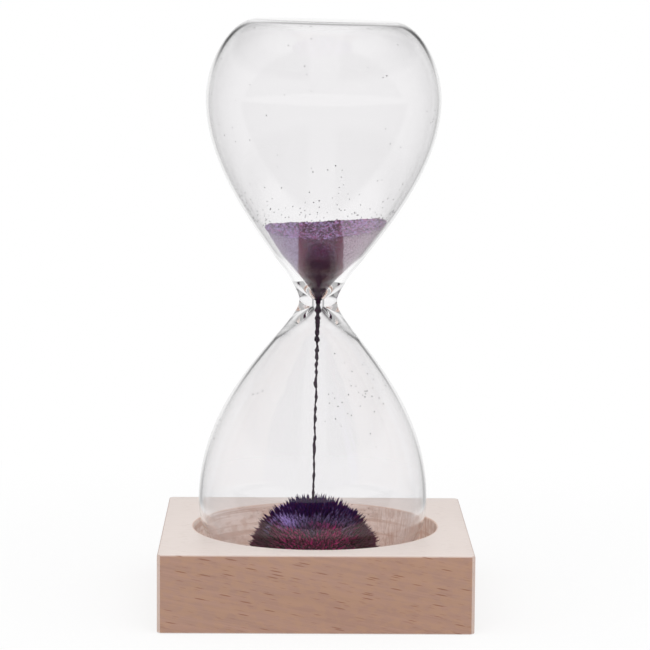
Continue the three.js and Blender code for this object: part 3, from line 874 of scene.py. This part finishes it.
class Filings:
    """Marks of the upper sand: stirred grains with painted glints, and painted reflections on its sides."""

    def __init__(self, tree, sand):
        self.tree = tree
        self.sand = sand
        coordinates = tree.add("ShaderNodeTexCoord").outputs
        self.place = coordinates["Object"]
        self.axes = tree.split(self.place)
        self.upward = tree.split(coordinates["Normal"])["Z"]
        self.grain = tree.mosaic(self.place, 8000.0)[1]
        self.patches = tree.noise(self.place, 420.0)

    def stirred(self):
        """Dark violet with blue, red and glinting grains, crowded on top as painted light; duller lower
        down.
        """
        tree, sand, grain = self.tree, self.sand, self.grain
        dull = toned(sand.violet, 0.45)
        dark = tree.mix(tree.ramp(self.patches, 0.3, 0.7), dull, sand.violet)
        hue = tree.mix(tree.ramp(grain["Green"], 0.3, 0.7), sand.blue, sand.magenta)
        clump = tree.mosaic(tree.stretched(self.place, (2100, 1250, 2100)))[1]
        on_top = tree.ramp(self.upward, 0.1, 0.7)
        chance = tree.blend(on_top, grain["Red"], clump["Red"])
        # The blue and red grains are dye; their crowding on upward faces is painted light on the top
        lively = tree.times(tree.ramp(self.upward, 0.1, 0.7, 0.3, 0.9), tree.ramp(chance, 0.5, 0.8))
        dyed = tree.mix(lively, dark, hue)
        # Painted glints: the brightest grains, on upward faces only
        lit = tree.times(on_top, tree.ramp(clump["Blue"], 0.66, 0.74))
        bright = tree.mix(lit, dyed, sand.painted_glint)
        deep = tree.ramp(self.axes["Z"], *(SAND_TOP - under for under in DULL_UNDER_TOP), 0.9, 0.0)
        return tree.mix(deep, bright, dull)

    def with_painted_reflections(self, colour):
        """The colour with pale painted reflections beside a dark strip, and red along the strip's edges."""
        tree, sand, across = self.tree, self.sand, self.axes["X"]
        edge = sand.strip_width / 2
        aside = tree.math("ABSOLUTE", tree.less(across, sand.strip_middle))
        ragged = tree.math("MULTIPLY_ADD", self.patches, REFLECTION_RAGGED, aside)
        beyond = tree.ramp(ragged, edge, edge + REFLECTION_SOFT)
        flank = tree.ramp(self.upward, 0.2, 0.6, 1.0, 0.2)
        fringe = tree.times(tree.ramp(aside, edge / 2, edge, 0.0, 0.6), tree.less(1.0, beyond), flank)
        reddened = tree.mix(fringe, colour, sand.fringe)
        # Painted reflections of the studio: pale on both flanks beside the strip
        reflection = tree.mix(tree.ramp(across, *REFLECTION_CHANGE), sand.painted_reflection_left, sand.painted_reflection_right)
        thin = tree.ramp(self.grain["Blue"], 0.0, 1.0, 0.25, 0.85)
        return tree.mix(tree.times(beyond, thin, flank), reddened, reflection)


def iron_sand_looks(tree, sand):
    """Fine iron filings, dyed violet: painted glints on top, painted reflections beside a dark strip."""
    filings = Filings(tree, sand)
    return {
        "Base Color": filings.with_painted_reflections(filings.stirred()),
        "Metallic": FILING_METAL,
        "Specular IOR Level": FILING_GLOSS,
        "Roughness": tree.ramp(filings.grain["Green"], 0.0, 1.0, 0.28, 0.6),
        "Normal": tree.bump(tree.noise(filings.place, 5200.0, 1.0), 0.7, FILING_RELIEF),
    }


def loose_looks(tree, sand):
    """Single grains and the thin thread: nearly black, a painted shade for how they look against the light.
    """
    place = tree.add("ShaderNodeTexCoord").outputs["Object"]
    grain = tree.noise(place, 2400.0)
    return {
        "Base Color": tree.mix(tree.ramp(grain, 0.35, 0.7), sand.shade, toned(sand.violet, 0.55)),
        "Metallic": FILING_METAL,
        "Specular IOR Level": FILING_GLOSS,
        "Roughness": tree.ramp(grain, 0.2, 0.8, 0.4, 0.7),
    }


def pile_looks(tree, sand, middle):
    """The same filings on end: painted shade at the roots and on the dark, dull crown, and a darker foot.

    A red belt is painted light reflected from the wood, and the blue shoulder a painted highlight,
    brightest at the left and giving way to the crown's painted shade at the pile's far left and right.
    """
    place = tree.add("ShaderNodeTexCoord").outputs["Object"]
    centred = tree.add("ShaderNodeMapping", {"Vector": place, "Location": -middle}).outputs[0]
    out = tree.length(centred)
    axes = tree.split(centred)
    rightward, backward, rising = (tree.math("DIVIDE", axes[axis], out) for axis in "XYZ")
    uneven = tree.ramp(tree.noise(place, 260.0), 0.2, 0.8, -0.1, 0.1)
    rise = tree.math("ADD", rising, uneven)
    grain = tree.mosaic(place, 2600.0)[1]

    # Painted light reflected from the warm wood: a red belt at the middle of the front and back
    in_middle = tree.ramp(tree.math("ABSOLUTE", rightward), 0.3, 0.75, 1.0, 0.1)
    red = tree.times(tree.ramp(rise, 0.06, 0.26), in_middle)
    belt = tree.mix(red, sand.foot, sand.magenta)
    # Painted highlight: a blue shoulder, brightest at the left, giving way to the crown's painted shade at
    # the far sides
    blue = tree.mix(tree.ramp(rightward, -0.45, -0.02), sand.blue, toned(sand.blue, 0.36))
    front_or_back = tree.ramp(tree.math("ABSOLUTE", backward), 0.12, 0.45)
    shoulder = tree.mix(front_or_back, sand.crown, blue)
    lower = tree.mix(tree.ramp(rise, 0.62, 0.76), belt, shoulder)
    # Painted shade: the dark crown, where the upright needles trap the light
    zones = tree.mix(tree.ramp(rise, 0.83, 0.92), lower, sand.crown)
    varied = tree.mix(tree.ramp(grain["Red"], 0.0, 0.45), sand.violet, zones)
    # Painted shade between the needles: the roots take the shade colour, the tips the zone colour
    tip = tree.ramp(out, *(sand.pile_radius + share * sand.needle for share in NEEDLE_TIP))
    return {
        "Base Color": tree.mix(tip, sand.shade, varied),
        "Metallic": tree.ramp(rise, 0.7, 0.9, FILING_METAL, 0.0),
        "Specular IOR Level": 0.15,
        "Roughness": tree.ramp(grain["Blue"], 0.0, 1.0, 0.35, 0.65),
    }


# Glass outlines, as (radius, distance from the neck plane)


def cubic(a, b, c, d, share):
    """Point on a Bezier curve, and the direction along it."""
    rest = 1 - share
    point = a * rest**3 + b * (3 * rest**2 * share) + c * (3 * rest * share**2) + d * share**3
    along = (b - a) * (3 * rest**2) + (c - b) * (6 * rest * share) + (d - c) * (3 * share**2)
    return point, along.normalized()


def flat_vector(x, y):
    """Point of an outline."""
    return Vector((x, y))


def upper_bulb(glass):
    """Upper bulb, with a long and nearly straight funnel."""
    return Bulb(
        belly=glass.upper_belly / 2,
        neck_to_belly=glass.upper_rise,
        belly_to_end=glass.upper_shoulder,
        throat_length=0.6 * MM,
        funnel_height=11 * MM,
        flank_fullness=0.455,
        throat_fullness=0.06,
    )


def lower_bulb(glass):
    """Lower bulb, with a fuller flank."""
    return Bulb(
        belly=glass.lower_belly / 2,
        neck_to_belly=glass.lower_fall,
        belly_to_end=glass.lower_shoulder,
        throat_length=1.2 * MM,
        funnel_height=9 * MM,
        flank_fullness=0.55,
        throat_fullness=0.13,
    )


def bulb_length(bulb):
    """From the neck plane to the end."""
    return bulb.neck_to_belly + bulb.belly_to_end


def wall_handles(bulb, glass):
    """Bezier handles of the flank and of the shoulder, with their steps."""
    neck, flat = glass.neck_diameter / 2, glass.end_flat / 2
    rise, end = bulb.neck_to_belly, bulb_length(bulb)
    flank = (
        flat_vector(neck, 0),
        flat_vector(neck, rise * NECK_FULLNESS),
        flat_vector(bulb.belly, rise * (1 - bulb.flank_fullness)),
        flat_vector(bulb.belly, rise),
    )
    shoulder = (
        flat_vector(bulb.belly, rise),
        flat_vector(bulb.belly, rise + bulb.belly_to_end * SHOULDER_FULLNESS),
        flat_vector(flat + (bulb.belly - flat) * END_FULLNESS, end),
        flat_vector(flat, end),
    )
    return (flank, FLANK_STEPS), (shoulder, SHOULDER_STEPS)


def outer_outline(bulb, glass):
    """From the neck plane to the middle of the end."""
    points = []
    for handles, steps in wall_handles(bulb, glass):
        points += [cubic(*handles, i / steps)[0] for i in range(steps)]
    end = bulb_length(bulb)
    return [*points, flat_vector(glass.end_flat / 2, end), flat_vector(0, end)]


def inner_outline(bulb, glass):
    """From the bore at the neck plane, out through the funnel and along the wall to the end."""
    inner, directions = [], []
    for handles, steps in wall_handles(bulb, glass):
        for i in range(steps):
            point, along = cubic(*handles, i / steps)
            inner.append(point + flat_vector(-along.y, along.x) * glass.wall)
            directions.append(along)
    top = next(i for i, point in enumerate(inner) if point.y > bulb.funnel_height)
    bore = glass.bore_diameter / 2
    throat = flat_vector(bore, bulb.throat_length)
    reach = (inner[top] - throat).length * FUNNEL_FULLNESS
    handles = (
        throat,
        flat_vector(bore, throat.y + (inner[top].y - throat.y) * bulb.throat_fullness),
        inner[top] - directions[top] * reach,
        inner[top],
    )
    funnel = [cubic(*handles, i / FUNNEL_STEPS)[0] for i in range(FUNNEL_STEPS)]
    end = bulb_length(bulb) - glass.wall
    return [
        flat_vector(bore, 0),
        *funnel,
        *inner[top:],
        flat_vector(glass.end_flat / 2, end),
        flat_vector(0, end),
    ]


def inner_radius(outline, distance):
    """Inner radius at a distance from the neck plane, between the neck and the belly."""
    above = next(i for i, point in enumerate(outline) if point.y > distance)
    low, high = outline[above - 1], outline[above]
    return low.x + (high.x - low.x) * (distance - low.y) / (high.y - low.y)


def neck_height(glass):
    """Height of the neck's middle over the foot, along the glass."""
    return bulb_length(lower_bulb(glass)) + glass.neck_join / 2


def standing(glass):
    """Places the glass's own frame, whose foot is at the origin, as it leans in the recess."""
    lean = Matrix.Rotation(glass.lean, 4, "Y")
    outline = outer_outline(lower_bulb(glass), glass)
    end = bulb_length(lower_bulb(glass))
    lowest = min((lean @ Vector((p.x, 0, end - p.y))).z for p in outline)
    return Matrix.Translation((-glass.foot_offset, 0, GLASS_FOOT - lowest)) @ lean


# Operators


class HOURGLASS_OT_base_block(bpy.types.Operator):
    """Square beech block with a turned recess and a stepped pocket underneath"""

    bl_idname = "hourglass.base_block"
    bl_label = "Base block"

    def square(self, base, inset, height):
        """Ring of points round the block with its cut corners, drawn in by the inset."""
        half = base.side / 2 - inset
        reach = half - base.corner_cut
        last = BASE_POINTS_PER_SIDE - 1
        right = [Vector((half, reach * (2 * i / last - 1), height)) for i in range(last + 1)]
        turns = [Matrix.Rotation(math.pi / 2 * k, 3, "Z") for k in range(4)]
        return [turn @ point for turn in turns for point in right]

    def ring(self, radius, height):
        """Ring of points that starts where the square's first side does."""
        around = 4 * BASE_POINTS_PER_SIDE
        turn = Matrix.Rotation(math.pi / around - math.pi / 4, 3, "Z")
        return [turn @ point for point in circle(radius, height, around)]

    def execute(self, context):
        base = context.scene.hourglass_base
        pocket, felt_pocket = base.pocket_diameter / 2, base.felt_pocket_diameter / 2
        recess, top, edge = base.recess_diameter / 2, base.height, base.edge_round
        rim, floor, fillet = base.rim_round, base.recess_floor, base.recess_fillet
        rings = [
            pole(base.pocket_depth),
            self.ring(pocket, base.pocket_depth),
            self.ring(pocket, base.felt_pocket_depth),
            self.ring(felt_pocket, base.felt_pocket_depth),
            self.ring(felt_pocket, 0),
        ]
        quarter = arc(ROUND_STEPS)
        rings += [self.square(base, edge * (1 - s), edge * (1 - c)) for s, c in quarter]
        rings += [self.square(base, edge * (1 - c), top - edge * (1 - s)) for s, c in quarter]
        rings += [self.ring(recess + rim * (1 - s), top - rim * (1 - c)) for s, c in quarter]
        rings += [self.ring(recess - fillet * (1 - c), floor + fillet * (1 - s)) for s, c in quarter]
        rings.append(pole(floor))
        material = shared_material("sanded_beech", beech_looks, base)
        piece = new_piece("beech_base", [skin(rings)], material, BASE_SMOOTH_ANGLE)
        settle(piece, "base", "beech", "base_block")
        return {"FINISHED"}


class HOURGLASS_OT_magnet(bpy.types.Operator):
    """Ferrite magnet in its pocket, and the felt disc that closes it"""

    bl_idname = "hourglass.magnet"
    bl_label = "Magnet and felt"

    def execute(self, context):
        base = context.scene.hourglass_base
        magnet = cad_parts["base_magnet"]
        magnet.data.materials.clear()
        magnet.data.materials.append(shared_material("sintered_ferrite", magnet_looks, base))

        radius = (COVER_HIGH.x - COVER_LOW.x) / 2
        low, high, edge = COVER_LOW.z, COVER_HIGH.z, FELT_EDGE
        profile = [(radius * i / FELT_STEPS, low) for i in range(FELT_STEPS)]
        profile += [(radius - edge * (1 - s), low + edge * (1 - c)) for s, c in arc(ROUND_STEPS)]
        profile += [(radius - edge * (1 - c), high - edge * (1 - s)) for s, c in arc(ROUND_STEPS)]
        profile.append((0, high))
        rings = [circle(r, h, FELT_SEGMENTS) for r, h in profile]
        for ring in rings[1:FELT_STEPS]:
            for point in ring:
                point.z += FELT_LUMP_HEIGHT * noise.noise(point / FELT_LUMP_PITCH)
        material = shared_material("pressed_felt", felt_looks, base)
        piece = new_piece("felt_disc", [skin(rings)], material)
        settle(piece, "base", "felt", "magnet_cover")
        return {"FINISHED"}


class HOURGLASS_OT_glass(bpy.types.Operator):
    """Blown glass: one outer skin and one sealed hollow, fused at the neck"""

    bl_idname = "hourglass.glass"
    bl_label = "Glass"

    def execute(self, context):
        glass = context.scene.hourglass_glass
        upper, lower = upper_bulb(glass), lower_bulb(glass)
        place, neck, join = standing(glass), neck_height(glass), glass.neck_join / 2

        def shell(outline):
            """Rings of both bulbs, from the foot to the top."""
            below = [(p.x, neck - join - p.y) for p in reversed(outline(lower, glass))]
            above = [(p.x, neck + join + p.y) for p in outline(upper, glass)]
            rings = [circle(r, h, GLASS_SEGMENTS) for r, h in below + above]
            return [[place @ point for point in ring] for ring in rings]

        skins = [skin(shell(outer_outline)), skin(shell(inner_outline)[::-1])]
        material = glass_material(glass)
        piece = new_piece("blown_glass", skins, material)
        settle(piece, "glass", "glass", "upper_bulb", "lower_bulb")
        return {"FINISHED"}


class HOURGLASS_OT_upper_sand(bpy.types.Operator):
    """Sand left in the upper bulb, with loose grains on its dished top"""

    bl_idname = "hourglass.upper_sand"
    bl_label = "Upper sand"

    def execute(self, context):
        glass, sand = context.scene.hourglass_glass, context.scene.hourglass_sand
        bulb = upper_bulb(glass)
        outline = inner_outline(bulb, glass)
        place = standing(glass) @ Matrix.Translation((0, 0, neck_height(glass) + glass.neck_join / 2))

        def ring(height, share, inward=1.0):
            """Ring along the wall at a share of the climb, or drawn inward over the dished top."""
            points = circle(1.0, height, SAND_SEGMENTS)
            at_rim = share**RIM_SHARPNESS
            for point in points:
                across, deep = point.x, point.y
                rim = sand.rim_right * across + sand.rim_back * deep
                rim += sand.rim_sides * (across * across - deep * deep)
                point.z += at_rim * rim
                gap = sand.wall_gap + sand.side_gap * share * (1 - across) / 2
                radius = (inner_radius(outline, point.z) - gap) * inward
                point.x *= radius
                point.y *= radius
                lump = sum(weight * noise.noise(point / pitch) for pitch, weight in SAND_LUMP_LAYERS)
                point.z += at_rim * SAND_LUMP_HEIGHT * lump - sand.dish * (1 - inward * inward)
            return points

        rings = [pole(bulb.throat_length)]
        for i in range(SAND_CLIMB_STEPS + 1):
            share = i / SAND_CLIMB_STEPS
            height = bulb.throat_length + (sand.level - bulb.throat_length) * share
            rings.append(ring(height, share))
        for i in range(1, SAND_DISH_STEPS):
            inward = 1 - i / SAND_DISH_STEPS
            rings.append(ring(sand.level, max(inward, DISH_ROUGHNESS), inward))
        rings.append(pole(sand.level - sand.dish))
        vertices, faces = skin([[place @ point for point in r] for r in rings])
        material = shared_material("violet_sand", iron_sand_looks, sand)
        piece = new_piece("upper_sand_plug", [(vertices, faces)], material)
        top_from = 1 + SAND_SEGMENTS * (SAND_CLIMB_STEPS - 1)
        attribute_numbers(piece.data, "cling", [float(i >= top_from) for i in range(len(vertices))])
        grow(
            piece,
            scatter_tree("Loose grains", grain_shape, grain_pose),
            {
                "Size": sand.grain,
                "Least distance": sand.grain * 0.5,
                "Density": sand.grains / MM**2,
                "Seed": sand.seed,
            },
        )
        settle(piece, "glass", "iron_sand", "upper_sand")
        return {"FINISHED"}


class HOURGLASS_OT_thread(bpy.types.Operator):
    """Thread of sand that falls through the neck"""

    bl_idname = "hourglass.thread"
    bl_label = "Falling thread"

    def execute(self, context):
        glass, sand = context.scene.hourglass_glass, context.scene.hourglass_sand
        sand_foot = neck_height(glass) + upper_bulb(glass).throat_length
        head = standing(glass) @ Vector((0, 0, sand_foot + THREAD_INTO_SAND))
        foot = Vector((head.x - THREAD_SLANT, 0, STREAM_FOOT - THREAD_INTO_PILE))
        material = shared_material("loose_sand", loose_looks, sand)
        piece = new_piece("sand_thread", [([foot, head], [])], material)
        piece.data.edges.add(1)
        piece.data.edges[0].vertices = (0, 1)
        grow(
            piece,
            thread_tree("Falling thread"),
            {
                "Foot radius": sand.thread_foot,
                "Head radius": sand.thread_head,
                "Sway": sand.thread_sway,
                "Lump length": sand.thread_lump,
                "Steps": THREAD_STEPS,
                "Sides": THREAD_SIDES,
            },
        )
        settle(piece, "glass", "iron_sand", "sand_stream")
        return {"FINISHED"}


class HOURGLASS_OT_pile(bpy.types.Operator):
    """Pile of sand that stands up in needles over the magnet"""

    bl_idname = "hourglass.pile"
    bl_label = "Spiked pile"

    def execute(self, context):
        sand = context.scene.hourglass_sand
        low, high = PILE_LOW, PILE_HIGH
        middle = Vector(((low.x + high.x) / 2, (low.y + high.y) / 2, low.z + PILE_LIFT))
        rings = [pole(0)]
        for i in range(PILE_STEPS):
            turn = math.pi / 2 * i / PILE_STEPS
            radius, height = sand.pile_radius * math.cos(turn), sand.pile_height * math.sin(turn)
            rings.append(circle(radius, height, PILE_SEGMENTS))
        rings.append(pole(sand.pile_height))
        vertices, faces = skin(rings)
        material = shared_material("standing_sand", pile_looks, sand, middle)
        piece = new_piece("spiked_pile", [([middle + v for v in vertices], faces)], material)
        downward = Vector((0, 0, -1))
        field = [v.normalized() if v.length else downward for v in vertices]
        attribute_vectors(piece.data, "field", field)
        attribute_numbers(piece.data, "cling", [float(i > 0) for i in range(len(vertices))])
        grow(
            piece,
            scatter_tree("Needles", needle_shape, needle_pose),
            {
                "Size": sand.needle,
                "Width": sand.needle_root,
                "Least distance": sand.needle_pitch,
                "Density": sand.needles / MM**2,
                "Seed": sand.seed,
            },
        )
        settle(piece, "glass", "iron_sand", "sand_pile")
        return {"FINISHED"}


class HOURGLASS_OT_specks(bpy.types.Operator):
    """Single grains that cling to the inside of the glass"""

    bl_idname = "hourglass.specks"
    bl_label = "Clinging grains"

    def execute(self, context):
        glass, sand = context.scene.hourglass_glass, context.scene.hourglass_sand
        place, neck, join = standing(glass), neck_height(glass), glass.neck_join / 2
        band_from, band_to = SPECK_BAND
        upper = [p for p in inner_outline(upper_bulb(glass), glass) if p.y > sand.level]
        lower = [p for p in inner_outline(lower_bulb(glass), glass) if band_from < p.y < band_to]
        shells = [
            skin([circle(p.x, neck + join + p.y, GLASS_SEGMENTS) for p in upper]),
            skin([circle(p.x, neck - join - p.y, GLASS_SEGMENTS) for p in lower]),
        ]
        line = neck + join + sand.level
        cluster = Vector((CLUSTER_RIGHT, 0, neck - CLUSTER_UNDER_NECK))

        def density(point):
            """Dense just over the sand, then in loose patches and in the cluster."""
            over_sand = math.exp(-(point.z - line) / SPECK_FADE) * (point.z > line)
            patch = max(0, noise.noise(point / SPECK_PATCH) - SPECK_BARE)
            clustered = math.exp(-(((point - cluster).xz.length / CLUSTER_RADIUS) ** 2))
            return over_sand + SPECK_WEIGHT * patch + SPECK_WEIGHT * clustered

        cling = [density(point) for points, _ in shells for point in points]
        material = shared_material("loose_sand", loose_looks, sand)
        leaning = [([place @ point for point in points], faces) for points, faces in shells]
        piece = new_piece("clinging_grains", leaning, material)
        attribute_numbers(piece.data, "cling", cling)
        grow(
            piece,
            scatter_tree("Specks", grain_shape, grain_pose),
            {
                "Size": sand.speck,
                "Least distance": sand.speck_pitch,
                "Density": sand.specks / MM**2,
                "Seed": sand.speck_seed,
                "Keep surface": False,
            },
        )
        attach(piece, "glass")
        return {"FINISHED"}


class HOURGLASS_OT_stage(bpy.types.Operator):
    """White floor, soft light and the camera"""

    bl_idname = "hourglass.stage"
    bl_label = "Stage"

    def white_share(self, tree, path, level):
        """Share of white that a ray sees: all of it straight or through glass, a level once mirrored."""
        mirrored = tree.math("MINIMUM", path["Glossy Depth"], 1.0)
        lost = tree.times(mirrored, tree.less(1.0, level))
        return tree.less(1.0, lost)

    def sees_stage(self, tree, path):
        """1 for rays that show the stage, 0 for those that only gather light."""
        passed = tree.math("MAXIMUM", path["Is Camera Ray"], path["Is Transmission Ray"])
        return tree.math("MAXIMUM", passed, path["Is Glossy Ray"])

    def add_floor(self, stage):
        """White floor that keeps the object's shadow. Glass mirrors it dimmer, and darkest in front."""
        material, tree, surface = new_material("white_floor")
        place = tree.add("ShaderNodeTexCoord").outputs["Object"]
        path = tree.add("ShaderNodeLightPath").outputs
        distance = tree.length(place)
        depth = tree.split(place)["Y"]
        near = tree.ramp(distance, *NEAR_FLOOR, 1.0, stage.room)
        behind = tree.ramp(tree.math("DIVIDE", depth, distance), *BACKWARD, stage.room, 1.0)
        before = tree.ramp(depth, *FRONT_FLOOR, stage.front, 1.0)
        far_before = tree.ramp(depth, *FAR_FRONT_FLOOR, 1.0, stage.front)
        lit = tree.math("MAXIMUM", near, behind)
        level = tree.times(lit, tree.math("MAXIMUM", before, far_before))
        unshadowed = tree.ramp(distance, *SHADOW_REACH, SHADOW_SHARE, 1.0)
        glow = tree.times(self.sees_stage(tree, path), unshadowed)
        matt = tree.add("ShaderNodeBsdfDiffuse", {"Color": FLOOR_COLOUR}).outputs[0]
        white = self.white_share(tree, path, level)
        light = tree.add("ShaderNodeEmission", {"Color": WHITE, "Strength": white}).outputs[0]
        mixed = tree.add("ShaderNodeMixShader", {0: glow, 1: matt, 2: light})
        tree.feed(surface, mixed.outputs[0])
        material.cycles.emission_sampling = "NONE"

        half = stage.floor_size / 2
        sides = ((-half, -half), (half, -half), (half, half), (-half, half))
        corners = [Vector((x, y, -FLOOR_GAP)) for x, y in sides]
        floor = new_piece("floor", [(corners, [[0, 1, 2, 3]])], material)

    def add_world(self, context, stage):
        """White backdrop in a dimmer room, which glass shows darker towards its upper sides."""
        world = bpy.data.worlds.new("studio")
        world.use_nodes = True
        world.node_tree.nodes.clear()
        tree = Tree(world.node_tree)
        output = tree.add("ShaderNodeOutputWorld")
        axes = tree.split(tree.add("ShaderNodeTexCoord").outputs["Generated"])
        path = tree.add("ShaderNodeLightPath").outputs
        aside = tree.ramp(tree.math("ABSOLUTE", axes["X"]), *SIDEWARD)
        lofty = tree.ramp(axes["Z"], *OVER_BACKDROP)
        backdrop = tree.less(1.0, tree.times(aside, lofty, 1.0 - stage.above))
        level = tree.blend(tree.ramp(axes["Y"], *BACKWARD), stage.room, backdrop)
        white = self.white_share(tree, path, level)
        overhead = tree.ramp(axes["Z"], *OVERHEAD, 0.0, OVERHEAD_LOSS)
        dimmed = tree.less(1.0, tree.times(aside, overhead))
        seen = tree.math("MINIMUM", white, tree.math("MAXIMUM", path["Is Camera Ray"], dimmed))
        strength = tree.blend(self.sees_stage(tree, path), stage.sky, seen)
        background = tree.add("ShaderNodeBackground", {"Color": WHITE, "Strength": strength})
        tree.feed(output.inputs["Surface"], background.outputs[0])
        context.scene.world = world

    def add_lamp(self, context, name, place, size, power):
        """Soft lamp that shines on the object and shows in no mirror."""
        data = bpy.data.lights.new(name, "AREA")
        data.shape = "RECTANGLE"
        data.size, data.size_y = size
        data.energy = power
        lamp = bpy.data.objects.new(name, data)
        lamp.location = place
        lamp.rotation_euler = (Vector(LAMP_TARGET) - Vector(place)).to_track_quat("-Z", "Y").to_euler()
        lamp.visible_camera = False
        lamp.visible_glossy = False
        lamp.visible_transmission = False
        context.scene.collection.objects.link(lamp)

    def add_camera(self, context, stage):
        """Camera at the viewer's place."""
        data = bpy.data.cameras.new("camera")
        data.angle = stage.view_angle
        data.clip_start, data.clip_end = CAMERA_CLIP
        camera = bpy.data.objects.new("camera", data)
        heading = Matrix.Rotation(-stage.heading, 4, "Z")
        pitch = Matrix.Rotation(math.pi / 2 - stage.pitch, 4, "X")
        roll = Matrix.Rotation(stage.roll, 4, "Z")
        position = Matrix.Translation((stage.camera_x, stage.camera_y, stage.camera_z))
        camera.matrix_world = position @ heading @ pitch @ roll
        context.scene.collection.objects.link(camera)
        context.scene.camera = camera

    def execute(self, context):
        stage = context.scene.hourglass_stage
        self.add_floor(stage)
        self.add_world(context, stage)
        for name, place, size, power in LAMPS:
            self.add_lamp(context, name, place, size, getattr(stage, power))
        self.add_camera(context, stage)
        context.scene.view_settings.view_transform = "Standard"
        return {"FINISHED"}


# Panel and registration

SETTINGS = {
    "hourglass_base": BaseSettings,
    "hourglass_glass": GlassSettings,
    "hourglass_sand": SandSettings,
    "hourglass_stage": StageSettings,
}
OPERATORS = (
    HOURGLASS_OT_stage,
    HOURGLASS_OT_base_block,
    HOURGLASS_OT_magnet,
    HOURGLASS_OT_glass,
    HOURGLASS_OT_upper_sand,
    HOURGLASS_OT_thread,
    HOURGLASS_OT_pile,
    HOURGLASS_OT_specks,
)


class HOURGLASS_PT_panel(bpy.types.Panel):
    """Lists the pieces and their settings"""

    bl_label = "Hourglass"
    bl_idname = "HOURGLASS_PT_panel"
    bl_space_type = "VIEW_3D"
    bl_region_type = "UI"
    bl_category = "Hourglass"

    def draw(self, context):
        for operator in OPERATORS:
            self.layout.operator(operator.bl_idname)
        for name, group in SETTINGS.items():
            box = self.layout.box()
            box.label(text=group.__doc__)
            for setting in group.__annotations__:
                box.prop(getattr(context.scene, name), setting)


CLASSES = (*SETTINGS.values(), *OPERATORS, HOURGLASS_PT_panel)


def register():
    """Registers the classes and hangs the settings on the scene."""
    for item in CLASSES:
        bpy.utils.register_class(item)
    for name, group in SETTINGS.items():
        setattr(bpy.types.Scene, name, PointerProperty(type=group))


def unregister():
    """Takes the settings and classes away again."""
    for name in SETTINGS:
        delattr(bpy.types.Scene, name)
    for item in reversed(CLASSES):
        bpy.utils.unregister_class(item)


def main():
    """Builds the stage and every piece."""
    register()
    bpy.ops.hourglass.stage()
    bpy.ops.hourglass.base_block()
    bpy.ops.hourglass.magnet()
    bpy.ops.hourglass.glass()
    bpy.ops.hourglass.upper_sand()
    bpy.ops.hourglass.thread()
    bpy.ops.hourglass.pile()
    bpy.ops.hourglass.specks()


if __name__ == "__main__":
    main()
